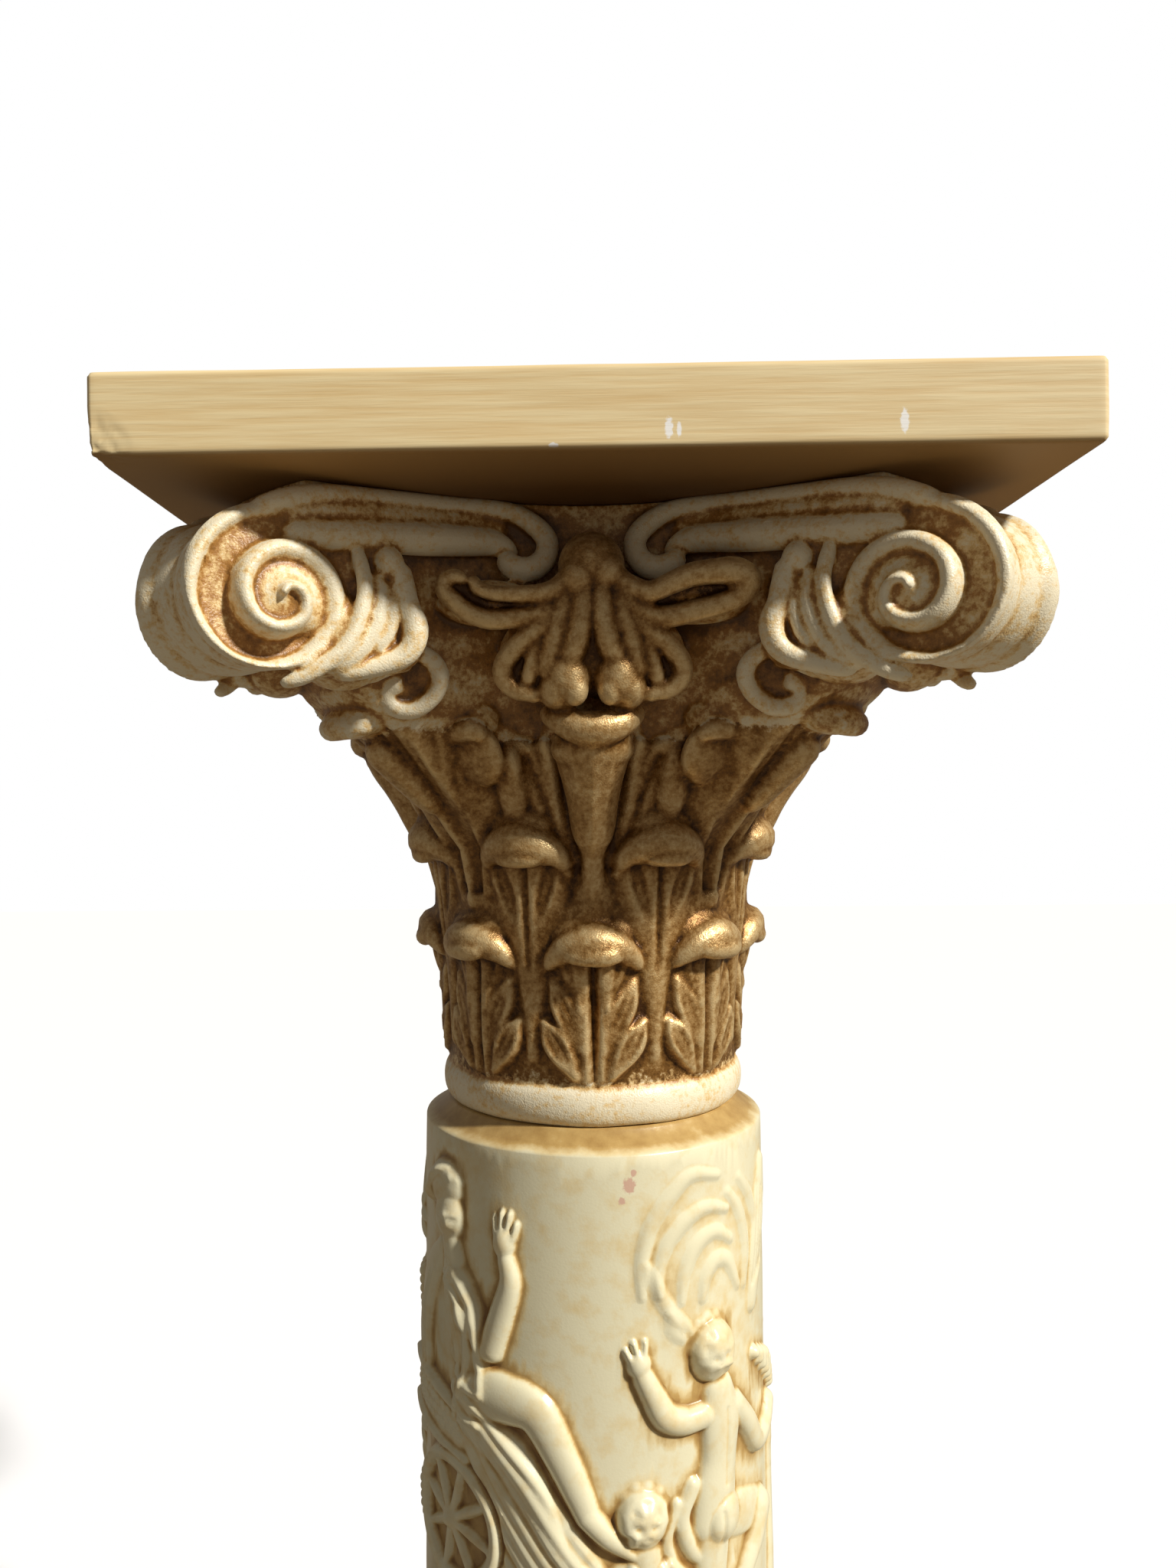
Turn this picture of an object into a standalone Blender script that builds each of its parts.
"""Display pedestal: moulded base, shaft with a cast relief, leafed capital with a square top slab."""

from math import cos, pi, radians, sin

import bmesh
import bpy
import numpy as np
from mathutils import Matrix, Vector

# Driving dimensions in metres. The front of the pedestal faces -Y.
JOINT_GAP = 0.0003
PLINTH_SIDE = 0.255
PLINTH_HEIGHT = 0.042
BASE_HEIGHT = 0.105
BASE_LEDGE = 0.0025
SHAFT_HEIGHT = 0.4002
SHAFT_TOP_RADIUS = 0.0708
SHAFT_FOOT_RADIUS = 0.0740
SHAFT_FLARE = 0.0045
SHOULDER_DROP = 0.0080
NECK_RADIUS = 0.0610
CAPITAL_HEIGHT = 0.2282
RIM_RADIUS = 0.0632
BELL_RADIUS = 0.0610
ABACUS_WAIST = 0.0870
HORN_REACH = 0.1560
VOLUTE_X = 0.1010
VOLUTE_Y = 0.1348
VOLUTE_RADIUS = 0.0265
VOLUTE_DEPTH = 0.0260
VOLUTE_TURN = radians(32.0)
VOLUTE_GAP = 0.0095
SLAB_SIDE = 0.305
SLAB_THICKNESS = 0.026
SLAB_SEAT = 0.0060
EDGE_ROUND = 0.0028

# The carving is laid out in shares: these are the sizes, in carving units, of what it is on.
CAPITAL_UNITS = 228.2
SHAFT_UNITS = 400.2
BELL_UNITS = 61.0
VOLUTE_UNITS = 26.5
GIRTH_UNITS = 452.0
WAIST_UNITS = 87.0
HORN_X_UNITS = 101.0
HORN_Y_UNITS = 134.8
CAPITAL_UNIT = CAPITAL_HEIGHT / CAPITAL_UNITS
RELIEF_UNIT = SHAFT_HEIGHT / SHAFT_UNITS
BELL_UNIT = BELL_RADIUS / BELL_UNITS
VOLUTE_UNIT = VOLUTE_RADIUS / VOLUTE_UNITS
RELIEF_TOP = SHAFT_HEIGHT - SHOULDER_DROP
BASE_NECK_RADIUS = SHAFT_FOOT_RADIUS + SHAFT_FLARE + BASE_LEDGE
SHAFT_FOOT_Z = BASE_HEIGHT + JOINT_GAP
CAPITAL_FOOT_Z = SHAFT_FOOT_Z + SHAFT_HEIGHT + JOINT_GAP

# Sampling of the solids
BELL_STEPS = 288
BELL_ROWS = 150
SHAFT_STEPS = 320
SHAFT_ROWS = 260
VOXEL = 0.0013
CAPITAL_FACES = 5300
SHAFT_FACES = 3200
BASE_STEPS = 28


def clear_scene():
    for obj in list(bpy.data.objects):
        bpy.data.objects.remove(obj, do_unlink=True)


def paint(name, colour, roughness):
    material = bpy.data.materials.new(name)
    material.use_nodes = True
    shader = material.node_tree.nodes["Principled BSDF"]
    shader.inputs["Base Color"].default_value = (*colour, 1.0)
    shader.inputs["Roughness"].default_value = roughness
    shader.inputs["Metallic"].default_value = 0.0
    material.diffuse_color = (*colour, 1.0)
    return material


def smooth_path(points, samples=8):
    """Catmull-Rom curve through rows of numbers, for any number of columns."""
    rows = np.array(points, dtype=float)
    padded = np.vstack([2 * rows[0] - rows[1], rows, 2 * rows[-1] - rows[-2]])
    parts = []
    for i in range(len(rows) - 1):
        a, b, c, d = padded[i:i + 4]
        t = np.linspace(0.0, 1.0, samples, endpoint=False)[:, None]
        parts.append(0.5 * (2 * b + (c - a) * t + (2 * a - 5 * b + 4 * c - d) * t ** 2
                            + (3 * b - a - 3 * c + d) * t ** 3))
    parts.append(rows[-1:])
    return np.vstack(parts)


class Relief:
    """Raised work over an unrolled wall: u runs along it and v up or down it, in carving units."""

    def __init__(self, u, v, wrap):
        self.u = u
        self.v = v
        self.wrap = wrap
        self.height = np.zeros_like(u)

    def offsets(self, u):
        return (self.u - u + self.wrap / 2) % self.wrap - self.wrap / 2

    def merge(self, shape, mode):
        if mode == "raise":
            self.height = np.maximum(self.height, shape)
        elif mode == "add":
            self.height = self.height + shape
        else:
            self.height = self.height - shape

    def stroke(self, points, height, mode="raise"):
        """Round ridge through (u, v, half width) points."""
        path = smooth_path(points, 4)
        shape = np.zeros_like(self.height)
        for (u0, v0, r0), (u1, v1, r1) in zip(path[:-1], path[1:]):
            du, dv = u1 - u0, v1 - v0
            length = max(du * du + dv * dv, 1e-9)
            across = self.offsets(u0)
            up = self.v - v0
            t = np.clip((across * du + up * dv) / length, 0.0, 1.0)
            radius = np.maximum(r0 + (r1 - r0) * t, 0.05)
            distance = np.hypot(across - du * t, up - dv * t) / radius
            swell = np.sqrt(np.clip(1.0 - distance ** 2, 0.0, None))
            shape = np.maximum(shape, height * swell)
        self.merge(shape, mode)

    def dome(self, u, v, half_u, half_v, height, mode="raise"):
        distance = np.hypot(self.offsets(u) / half_u, (self.v - v) / half_v)
        self.merge(height * np.sqrt(np.clip(1.0 - distance ** 2, 0.0, None)), mode)


def link(obj, collection):
    collection.objects.link(obj)
    return obj


def bake(obj):
    """Replace an object by the plain mesh that its modifiers give."""
    graph = bpy.context.evaluated_depsgraph_get()
    mesh = bpy.data.meshes.new_from_object(obj.evaluated_get(graph))
    baked = bpy.data.objects.new(obj.name + "_mesh", mesh)
    baked.matrix_world = obj.matrix_world
    link(baked, obj.users_collection[0])
    bpy.data.objects.remove(obj, do_unlink=True)
    return baked


def turned(name, profile, steps, collection):
    """Solid turned about Z from a profile of (radius, height) points that starts and ends on it."""
    mesh = bpy.data.meshes.new(name)
    edges = [(i, i + 1) for i in range(len(profile) - 1)]
    mesh.from_pydata([(r, 0.0, z) for r, z in profile], edges, [])
    obj = link(bpy.data.objects.new(name, mesh), collection)
    screw = obj.modifiers.new("Turn", "SCREW")
    screw.axis = "Z"
    screw.steps = steps
    screw.render_steps = steps
    screw.use_merge_vertices = True
    screw.merge_threshold = 0.00005
    screw.use_normal_calculate = True
    return obj


def coordinates(mesh):
    flat = np.empty(len(mesh.vertices) * 3)
    mesh.vertices.foreach_get("co", flat)
    return flat.reshape(-1, 3)


def set_coordinates(mesh, points):
    mesh.vertices.foreach_set("co", points.ravel())
    mesh.update()


def face_outward(mesh):
    work = bmesh.new()
    work.from_mesh(mesh)
    bmesh.ops.recalc_face_normals(work, faces=work.faces)
    work.to_mesh(mesh)
    work.free()


def strand(name, points, collection):
    """Round bar through (x, out, up, radius) points in capital units, with rounded ends."""
    path = smooth_path(points)
    spline_points = len(path)
    curve = bpy.data.curves.new(name, "CURVE")
    curve.dimensions = "3D"
    curve.bevel_depth = CAPITAL_UNIT
    curve.bevel_resolution = 2
    curve.use_fill_caps = True
    spline = curve.splines.new("POLY")
    spline.points.add(spline_points - 1)
    for i, (point, row) in enumerate(zip(spline.points, path)):
        near_end = min(i, spline_points - 1 - i)
        point.co = (*place(row[0], row[1], row[2]), 1.0)
        point.radius = row[3] * (0.6, 0.85, 1.0)[min(near_end, 2)]
    return link(bpy.data.objects.new(name, curve), collection)


def place(x, out, up):
    """Point of the front face of the capital, from carving units."""
    spread = (VOLUTE_Y - ABACUS_WAIST) / (HORN_Y_UNITS - WAIST_UNITS)
    reach = ABACUS_WAIST + (out - WAIST_UNITS) * spread
    return Vector((x * VOLUTE_X / HORN_X_UNITS, -reach, up * CAPITAL_UNIT))


def on_bell(out, up):
    """Point straight in front of the axis, on the part of the capital that follows the bell."""
    return Vector((0.0, -out * BELL_UNIT, up * CAPITAL_UNIT))


def blob(name, centre, half, collection, tilt=0.0):
    """Ellipsoid at a point, with half sizes across, out and up, tilted about the X axis."""
    mesh = bpy.data.meshes.new(name)
    work = bmesh.new()
    bmesh.ops.create_uvsphere(work, u_segments=20, v_segments=12, radius=CAPITAL_UNIT)
    work.to_mesh(mesh)
    work.free()
    shape = Matrix.Rotation(tilt, 4, "X") @ Matrix.Diagonal((*half, 1.0))
    mesh.transform(Matrix.Translation(centre) @ shape)
    return link(bpy.data.objects.new(name, mesh), collection)


def abacus_reach(theta):
    """Plan radius of the concave abacus at angles measured from the middle of a face."""
    slope = (VOLUTE_Y ** 2 - ABACUS_WAIST ** 2) / VOLUTE_X ** 2
    span = np.clip(np.cos(theta) ** 2 - slope * np.sin(theta) ** 2, 1e-4, None)
    return np.minimum(ABACUS_WAIST / np.sqrt(span), HORN_REACH)


# Bell radius by height: share of the capital's height, then radius in the middle of a face
# and on the diagonal, both as multiples of the bell radius.
BELL_PROFILE = (
    (0.000, 0.985, 0.985),
    (0.075, 0.985, 0.985),
    (0.150, 0.985, 0.985),
    (0.260, 1.000, 1.000),
    (0.380, 1.030, 1.035),
    (0.460, 1.055, 1.090),
    (0.520, 1.085, 1.270),
    (0.580, 1.120, 1.500),
    (0.640, 1.180, 1.760),
    (0.700, 1.250, 2.050),
    (0.780, 1.320, 2.350),
)


def bell_radius(theta, share):
    """Radius of the plain bell, round below and concave-sided above."""
    shares, face, corner = (np.array(column) for column in zip(*BELL_PROFILE))
    round_part = np.interp(share, shares, face) * BELL_RADIUS
    horn = np.interp(share, shares, corner) * BELL_RADIUS
    top = np.clip((share - shares[-1]) / (1.0 - shares[-1]), 0.0, 1.0)
    round_part = round_part + (ABACUS_WAIST - round_part) * top
    horn = horn + (HORN_REACH - horn) * top
    blend = (abacus_reach(theta) - ABACUS_WAIST) / (HORN_REACH - ABACUS_WAIST)
    return round_part + (horn - round_part) * blend


def acanthus(relief, u, v, tall, wide):
    """One leaf of the bell: a lobed plate with a grooved stem and hollowed side lobes."""
    rise = tall / 50.0
    side = wide / 21.0
    relief.stroke([(u, v, 8 * side), (u, v + 22 * rise, 10 * side), (u, v + 46 * rise, 13 * side)], 2.4)
    for turn in (-1, 1):
        for low, high, reach in ((3, 19, 12), (19, 38, 14)):
            start = (u + turn * 4 * side, v + low * rise, 3.0)
            middle = (u + turn * reach * side, v + (low + high) / 2 * rise, 5.5)
            end = (u + turn * (reach + 3) * side, v + high * rise, 4.5)
            relief.stroke([start, middle, end], 3.8)
            relief.stroke([start[:2] + (0.8,), middle[:2] + (1.6,), end[:2] + (1.2,)], 1.8, "cut")
        relief.stroke([(u + turn * 2.4, v, 1.6), (u + turn * 3.0, v + 44 * rise, 1.6)], 1.6, "add")
    relief.stroke([(u, v, 1.2), (u, v + 40 * rise, 1.2)], 1.2, "cut")


def corner_leaf(relief, u):
    """Tall leaf that bends out under the volutes: spreading ribs and two lobes on each side."""
    relief.stroke([(u, 84, 7), (u, 112, 11), (u, 132, 14), (u, 150, 11)], 5.0)
    for turn in (-1, 1):
        relief.stroke([(u + turn * 5, 100, 4), (u + turn * 14, 120, 6), (u + turn * 18, 134, 5)], 5.0)
        relief.stroke([(u + turn * 6, 118, 4), (u + turn * 13, 134, 6), (u + turn * 14, 146, 6)], 7.0)
        for spread in (4, 9):
            relief.stroke([(u + turn * spread * 0.4, 96, 1.4), (u + turn * spread, 146, 1.4)], 1.4, "cut")


def bell(collection):
    """The bell and abacus, with the leaves raised on them; the top is seated in the slab."""
    rows = np.linspace(0.0, 1.0, BELL_ROWS)
    profile = [(0.0, 0.0)]
    profile += [(BELL_RADIUS, CAPITAL_HEIGHT * share) for share in rows]
    profile += [(BELL_RADIUS, CAPITAL_HEIGHT + SLAB_SEAT), (0.0, CAPITAL_HEIGHT + SLAB_SEAT)]
    solid = bake(turned("bell", profile, BELL_STEPS, collection))
    points = coordinates(solid.data)
    wall = np.hypot(points[:, 0], points[:, 1]) > BELL_RADIUS / 2
    angle = np.arctan2(points[wall, 0], -points[wall, 1])
    share = points[wall, 2] / CAPITAL_HEIGHT
    girth = 2 * pi * BELL_UNITS
    relief = Relief(angle * BELL_UNITS, share * CAPITAL_UNITS, girth)
    for k in range(8):
        acanthus(relief, (k + 0.5) * girth / 8, 38, 68, 19)
    for k in range(8):
        acanthus(relief, k * girth / 8, 16, 50, 21)
    for k in range(4):
        middle = k * girth / 4
        corner = middle + girth / 8
        relief.stroke([(middle, 84, 6), (middle, 118, 8), (middle, 146, 13)], 8.0)
        corner_leaf(relief, corner)
    from_face = (angle + pi / 4) % (pi / 2) - pi / 4
    radius = bell_radius(from_face, share) + relief.height * BELL_UNIT
    rim = np.clip(1.0 - ((share * CAPITAL_UNITS - 8.0) / 7.5) ** 2, 0.0, None)
    radius += (RIM_RADIUS - 0.985 * BELL_RADIUS) * np.sqrt(rim)
    points[wall, 0] = radius * np.sin(angle)
    points[wall, 1] = -radius * np.cos(angle)
    set_coordinates(solid.data, points)
    face_outward(solid.data)
    return solid


def hoods(collection):
    """The curled tips of the two leaf rows and of the four corner leaves."""
    made = []
    for row, up, out, half in ((0.0, 66, 64, (14, 8, 7.5)), (0.5, 105, 68, (13, 9, 10))):
        for k in range(8):
            tip = blob("hood", on_bell(out, up), half, collection)
            tip.data.transform(Matrix.Rotation((k + row) * pi / 4, 4, "Z"))
            made.append(tip)
    for k in range(4):
        tip = blob("corner_tip", on_bell(126, 154), (15, 10, 8), collection, radians(15))
        tip.data.transform(Matrix.Rotation((k + 0.5) * pi / 2, 4, "Z"))
        made.append(tip)
    return made


def spiral_height(x, z):
    """Height of a volute's scroll over its disc: a rounded ridge that winds in to the eye."""
    across = x / VOLUTE_UNIT + 3.5
    up = z / VOLUTE_UNIT + 4.5
    reach = np.hypot(across, up)
    turn = (np.arctan2(across, up) % (2 * pi)) / (2 * pi)
    height = np.zeros_like(reach)
    for lap, rise in ((0, 4.5), (1, 6.0)):
        ridge = 27.5 - 13.4 * (turn + lap)
        swell = np.clip(1.0 - ((reach - ridge) / 3.6) ** 2, 0.0, None)
        height = np.maximum(height, (rise + 1.5 * turn) * np.sqrt(swell))
    eye = 7.0 * np.sqrt(np.clip(1.0 - (reach / 4.0) ** 2, 0.0, None))
    return np.maximum(height, eye) * VOLUTE_UNIT


def volute(collection):
    """Right-hand volute of the front face: a turned drum whose outer face winds in a scroll."""
    rings = [(VOLUTE_RADIUS * share, 0.0) for share in np.linspace(0.0, 1.0, 28)]
    side = ((1.00, 0.04), (0.99, 0.20), (0.94, 0.32), (0.90, 0.55), (0.86, 1.0))
    back = [(VOLUTE_RADIUS * share, -VOLUTE_DEPTH * depth) for share, depth in side]
    profile = rings + back + [(0.0, -VOLUTE_DEPTH)]
    solid = bake(turned("volute", profile, 96, collection))
    points = coordinates(solid.data)
    face = points[:, 2] > -VOLUTE_DEPTH * 0.03
    points[face, 2] += spiral_height(points[face, 0], points[face, 1])
    set_coordinates(solid.data, points)
    face_outward(solid.data)
    tangent = Vector((cos(VOLUTE_TURN), -sin(VOLUTE_TURN), 0.0))
    up = Vector((0.0, 0.0, 1.0))
    frame = Matrix((tangent, up, tangent.cross(up))).transposed().to_4x4()
    centre = Vector((VOLUTE_X, -VOLUTE_Y, CAPITAL_HEIGHT - VOLUTE_RADIUS - VOLUTE_GAP))
    solid.data.transform(Matrix.Translation(centre) @ frame)
    return solid


def corner_work(collection):
    """Ribbon, curled leaf and small curls between the right volute and the middle of the face."""
    return [
        strand("ribbon", [(114, 143, 213, 4.0), (101, 137, 219, 4.2), (85, 126, 223.5, 4.2),
                          (65, 111, 225.5, 4.2), (45, 99, 226, 4.0), (30, 92.5, 225.5, 4.0),
                          (19, 90, 223, 4.2), (13, 89.5, 217, 4.4), (13.5, 91, 210, 4.6),
                          (19, 92, 205, 4.8), (26, 92, 207, 4.6), (28.5, 91, 212, 4.2)], collection),
        strand("ribbon", [(86, 126, 209, 5.0), (70, 114, 210.5, 5.2), (50, 101, 212.5, 5.2),
                          (34, 94, 213, 5.0), (27, 91, 211, 4.5)], collection),
        strand("sheath", [(57, 106, 205, 4.0), (63, 109, 206, 5.2), (68, 111, 199, 4.8),
                          (68, 113, 188, 4.6), (72, 116, 176, 4.4), (84, 118, 167, 4.4)], collection),
        strand("sheath", [(73, 115, 200, 4.4), (75, 118, 188, 4.8), (80, 120, 176, 4.6),
                          (94, 124, 167, 4.6)], collection),
        strand("curl", [(74, 108, 172, 3.6), (62, 102, 175, 3.6), (54, 98, 171, 3.6),
                        (54, 97, 164, 3.4), (58, 97, 158, 3.4), (65, 98, 156, 3.4),
                        (70, 100, 160, 3.4), (68, 101, 165, 3.2), (64, 100, 164, 2.6)], collection),
        blob("corner_web", place(88, 112, 176), (17, 15, 16), collection),
    ]


def fleuron(collection):
    """Flower in the middle of a face, right half: dome, wing petal, skirt, side petal and bud."""
    return [
        blob("dome", place(0, 101, 204), (10.5, 13, 11), collection),
        strand("wing", [(6, 104, 199, 5.0), (16, 107, 194, 4.6), (28, 110, 196, 4.6),
                        (42, 112, 201, 5.0), (52, 112, 199, 5.0), (50, 111, 193, 4.4),
                        (38, 108, 189, 4.2), (24, 105, 186, 4.4), (10, 103, 190, 5.0)], collection),
        strand("skirt", [(3, 106, 198, 5.0), (6, 106, 186, 5.5), (11, 105, 176, 5.5),
                         (15, 101, 167, 4.5)], collection),
        strand("side_petal", [(10, 103, 186, 4.5), (20, 104, 181, 4.4), (28, 103, 174, 4.2),
                              (28, 101, 166, 4.0), (22, 100, 164, 3.8)], collection),
        blob("bud", place(9, 104, 165), (9.5, 10, 10), collection),
        blob("cup_lip", place(0, 90, 148), (14.5, 15, 8), collection, radians(-15)),
    ]


def mirrored(obj):
    mesh = obj.data.copy()
    mesh.transform(Matrix.Diagonal((-1.0, 1.0, 1.0, 1.0)))
    mesh.flip_normals()
    return link(bpy.data.objects.new(obj.name, mesh), obj.users_collection[0])


def joined(name, pieces, turns, collection):
    """One mesh of the given pieces, repeated about Z."""
    work = bmesh.new()
    for piece in pieces:
        for k in range(turns):
            mesh = piece.data.copy()
            mesh.transform(Matrix.Rotation(k * 2 * pi / turns, 4, "Z") @ piece.matrix_world)
            work.from_mesh(mesh)
            bpy.data.meshes.remove(mesh)
    whole = bpy.data.meshes.new(name)
    work.to_mesh(whole)
    work.free()
    for piece in pieces:
        bpy.data.objects.remove(piece, do_unlink=True)
    return link(bpy.data.objects.new(name, whole), collection)


def thin_out(obj, faces):
    """Fewer triangles with the same form."""
    obj.data.calc_loop_triangles()
    reduce = obj.modifiers.new("Fewer faces", "DECIMATE")
    reduce.ratio = min(1.0, faces / len(obj.data.loop_triangles))
    reduce.use_collapse_triangulate = True
    return bake(obj)


def sculpt(collection):
    """The carved part of the capital, fused from its forms."""
    corner = [bake(piece) if piece.type == "CURVE" else piece for piece in corner_work(collection)]
    corner.append(volute(collection))
    flower = [bake(piece) if piece.type == "CURVE" else piece for piece in fleuron(collection)]
    halves = corner + flower
    halves += [mirrored(piece) for piece in halves]
    forms = [joined("faces", halves, 4, collection), joined("row_tips", hoods(collection), 1, collection)]
    forms.append(bell(collection))
    whole = joined("sculpture", forms, 1, collection)
    fuse = whole.modifiers.new("Fuse", "REMESH")
    fuse.mode = "VOXEL"
    fuse.voxel_size = VOXEL
    soften = whole.modifiers.new("Soften", "SMOOTH")
    soften.factor = 0.5
    soften.iterations = 1
    return thin_out(bake(whole), CAPITAL_FACES)


def rounded_box(name, size, centre, collection):
    mesh = bpy.data.meshes.new(name)
    work = bmesh.new()
    bmesh.ops.create_cube(work, size=1.0)
    work.to_mesh(mesh)
    work.free()
    mesh.transform(Matrix.Translation(centre) @ Matrix.Diagonal((*size, 1.0)))
    obj = link(bpy.data.objects.new(name, mesh), collection)
    soft = obj.modifiers.new("Rounded edges", "BEVEL")
    soft.width = EDGE_ROUND
    soft.segments = 3
    soft.limit_method = "ANGLE"
    return obj


def unite(obj, other):
    union = obj.modifiers.new("Cast as one", "BOOLEAN")
    union.operation = "UNION"
    union.solver = "EXACT"
    union.object = other


def build_capital(parts, cutters):
    sculpture = sculpt(cutters)
    slab_size = (SLAB_SIDE, SLAB_SIDE, SLAB_THICKNESS)
    centre = Vector((0.0, 0.0, CAPITAL_HEIGHT + SLAB_THICKNESS / 2))
    capital = rounded_box("capital", slab_size, centre, parts)
    capital.location.z = CAPITAL_FOOT_Z
    sculpture.location.z = CAPITAL_FOOT_Z
    unite(capital, sculpture)
    capital.data.materials.append(paint("antiqued_cream_and_gold", (0.60, 0.46, 0.26), 0.45))
    return capital


def relief_figures(relief):
    """Classical figures round the shaft; v is measured down from the shoulder."""
    relief.dome(-66, 26, 11, 16, 5.0)
    relief.stroke([(-62, 48, 9), (-56, 66, 9), (-50, 84, 9), (-48, 94, 10)], 5.5)
    relief.stroke([(-56, 54, 5), (-46, 66, 4.5), (-40, 72, 4.5), (-34, 48, 4.5), (-36, 32, 4)], 5.0)
    relief.stroke([(-46, 90, 9), (-24, 95, 8), (-13, 110, 6), (-4, 130, 4.5), (10, 142, 4.5)], 6.5)
    for start, bend, end in (((-58, 98), (-44, 120), (-8, 142)), ((-60, 118), (-42, 134), (-12, 158)),
                             ((-50, 88), (-34, 112), (-18, 132)), ((-70, 76), (-62, 96), (-54, 112))):
        relief.stroke([start + (5,), bend + (6,), end + (4,)], 5.0)
    for k in range(8):
        spoke = k * pi / 4
        rim = (-66 + 26 * cos(spoke), 150 + 26 * sin(spoke), 3.2)
        after = (-66 + 26 * cos(spoke + pi / 4), 150 + 26 * sin(spoke + pi / 4), 3.2)
        relief.stroke([rim, after], 4.0)
        relief.stroke([(-66, 150, 2.0), (rim[0], rim[1], 2.0)], 3.0)
    relief.stroke([(-94, 112, 9), (-72, 110, 9), (-56, 112, 8)], 3.5)
    children = ((48, 78, 1), (150, 90, -1), (-150, 84, 1), (16, 236, 1), (-104, 250, -1), (118, 262, 1))
    for u, v, turn in children:
        putto(relief, u, v, turn)
    for shift in (-1, 1):
        relief.stroke([(37 + shift * 7, 70, 3), (22 - shift * 3, 46, 3), (34, 16 + shift * 5, 3),
                       (54, 14, 2.5)], 2.4)
    for vine in (84, 132, 178, 222, -176, -122):
        relief.stroke([(vine, 40, 2.5), (vine + 9, 90, 3), (vine - 8, 150, 3), (vine + 8, 220, 3),
                       (vine - 4, 300, 3.5)], 2.6)


def putto(relief, u, v, turn):
    """Small winged child seen in the round: curly head, back, arms and bent legs."""
    relief.dome(u, v, 12, 13, 7.0)
    relief.stroke([(u + turn * 3, v + 14, 6), (u + turn * 3, v + 26, 10), (u + turn * 2, v + 44, 9),
                   (u, v + 58, 11)], 6.0)
    relief.stroke([(u - turn * 6, v + 25, 5), (u - turn * 22, v + 22, 4.5), (u - turn * 32, v + 4, 4),
                   (u - turn * 34, v - 4, 3.5)], 5.0)
    relief.stroke([(u + turn * 10, v + 27, 5), (u + turn * 27, v + 43, 4.5), (u + turn * 42, v + 34, 4)],
                  5.0)
    relief.stroke([(u, v + 60, 9), (u + turn * 30, v + 66, 7), (u + turn * 20, v + 86, 5),
                   (u + turn * 12, v + 104, 4.5)], 6.0)
    relief.stroke([(u - turn * 2, v + 60, 8), (u - turn * 8, v + 84, 6), (u - turn * 4, v + 106, 4.5)], 5.0)


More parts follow.
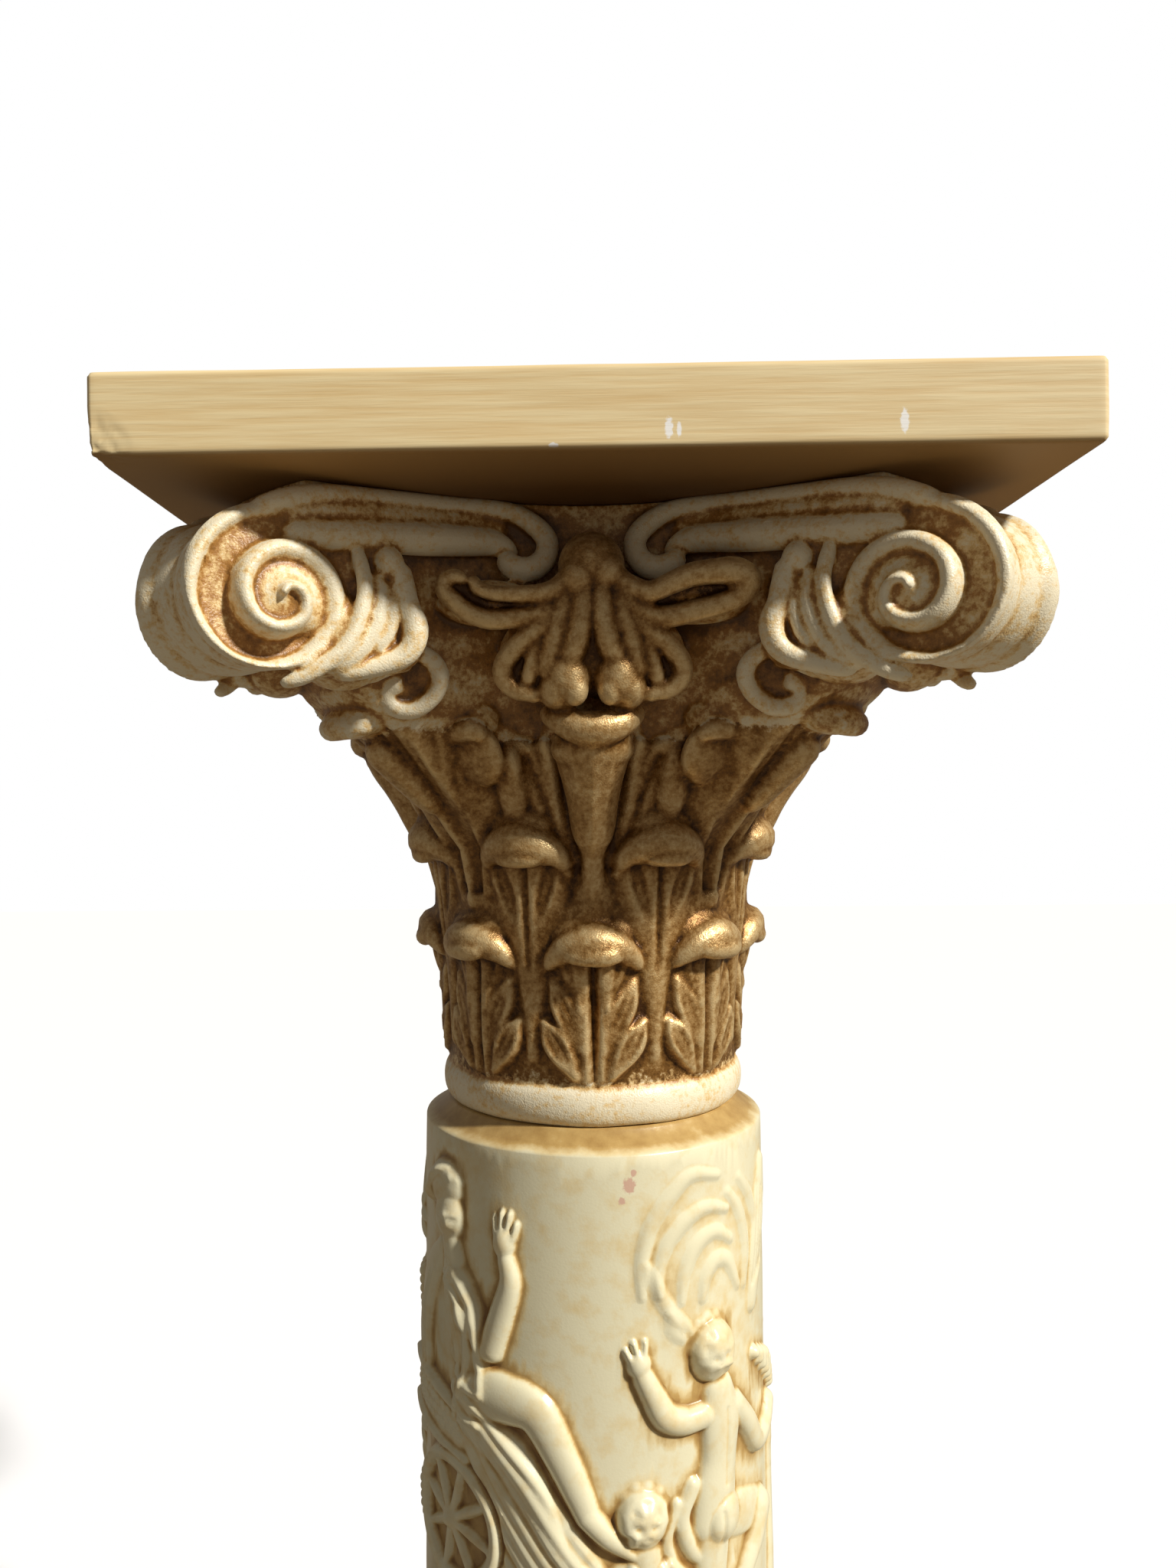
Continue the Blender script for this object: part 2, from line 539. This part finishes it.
def build_shaft(parts, cutters):
    """Round shaft with its relief, a sloped shoulder above and a small flare at the foot."""
    rows = np.linspace(0.0, RELIEF_TOP, SHAFT_ROWS)
    profile = [(0.0, 0.0)]
    profile += [(SHAFT_FOOT_RADIUS, height) for height in rows]
    slope = SHAFT_TOP_RADIUS - NECK_RADIUS
    profile += [(SHAFT_TOP_RADIUS - 0.15 * slope, RELIEF_TOP + 0.16 * SHOULDER_DROP),
                (SHAFT_TOP_RADIUS - 0.60 * slope, RELIEF_TOP + 0.50 * SHOULDER_DROP),
                (NECK_RADIUS, SHAFT_HEIGHT), (0.0, SHAFT_HEIGHT)]
    solid = bake(turned("shaft_blank", profile, SHAFT_STEPS, cutters))
    points = coordinates(solid.data)
    reach = np.hypot(points[:, 0], points[:, 1])
    wall = (reach > NECK_RADIUS * 1.01) & (points[:, 2] < RELIEF_TOP * 1.0001)
    angle = np.arctan2(points[wall, 0], -points[wall, 1])
    drop = (RELIEF_TOP - points[wall, 2]) / RELIEF_UNIT
    relief = Relief(angle / (2 * pi) * GIRTH_UNITS, drop, GIRTH_UNITS)
    relief_figures(relief)
    panel = np.clip(drop / 6.0, 0.0, 1.0) * np.clip((370.0 - drop) / 6.0, 0.0, 1.0)
    taper = points[wall, 2] / RELIEF_TOP
    radius = SHAFT_FOOT_RADIUS + (SHAFT_TOP_RADIUS - SHAFT_FOOT_RADIUS) * taper
    radius += SHAFT_FLARE * np.clip((drop - 372.0) / 12.0, 0.0, 1.0)
    radius += relief.height * panel * 0.75 * RELIEF_UNIT
    points[wall, 0] = radius * np.sin(angle)
    points[wall, 1] = -radius * np.cos(angle)
    set_coordinates(solid.data, points)
    face_outward(solid.data)
    shaft = thin_out(solid, SHAFT_FACES)
    shaft.name = "shaft"
    cutters.objects.unlink(shaft)
    link(shaft, parts)
    shaft.location.z = SHAFT_FOOT_Z
    shaft.data.materials.append(paint("glazed_cream_relief", (0.74, 0.64, 0.42), 0.35))
    return shaft


def arc(centre, half, start, end, count):
    """Points of an elliptical arc in the profile plane, angles in degrees."""
    angles = np.radians(np.linspace(start, end, count))
    return [(centre[0] + half[0] * cos(a), centre[1] + half[1] * sin(a)) for a in angles]


def build_base(parts, cutters):
    """Square plinth under two rolls with a hollow between them."""
    rise = BASE_HEIGHT - PLINTH_HEIGHT
    low = PLINTH_HEIGHT - 0.25 * rise
    roll = 0.20 * rise
    lower = (PLINTH_SIDE / 2 - 1.2 * roll, PLINTH_HEIGHT + roll)
    upper = (BASE_NECK_RADIUS + 0.006, BASE_HEIGHT - 0.22 * rise)
    waist = BASE_NECK_RADIUS + 0.003
    profile = [(0.0, low), (lower[0], low)]
    profile += arc(lower, (roll, roll), -90, 90, 6)
    profile += [(lower[0] - 0.004, PLINTH_HEIGHT + 0.46 * rise)]
    hollow = (lower[0] - 0.004, PLINTH_HEIGHT + 0.56 * rise)
    profile += arc(hollow, (hollow[0] - waist, 0.10 * rise), 270, 180, 4)
    profile += arc(upper, (0.14 * rise, 0.14 * rise), -90, 90, 5)
    profile += [(BASE_NECK_RADIUS, BASE_HEIGHT - 0.06 * rise), (BASE_NECK_RADIUS, BASE_HEIGHT),
                (0.0, BASE_HEIGHT)]
    rolls = turned("base_rolls", profile, BASE_STEPS, cutters)
    rolls.name = "base_rolls"
    plinth_size = (PLINTH_SIDE, PLINTH_SIDE, PLINTH_HEIGHT)
    base = rounded_box("base", plinth_size, Vector((0.0, 0.0, PLINTH_HEIGHT / 2)), parts)
    unite(base, rolls)
    base.data.materials.append(paint("antiqued_cream_base", (0.72, 0.61, 0.40), 0.4))
    return base


def main():
    clear_scene()
    parts = bpy.data.collections.new("display_pedestal")
    cutters = bpy.data.collections.new("cutters")
    for collection in (parts, cutters):
        bpy.context.scene.collection.children.link(collection)
    build_base(parts, cutters)
    build_shaft(parts, cutters)
    build_capital(parts, cutters)
    for obj in cutters.objects:
        obj.hide_render = True
        obj.display_type = "WIRE"


main()
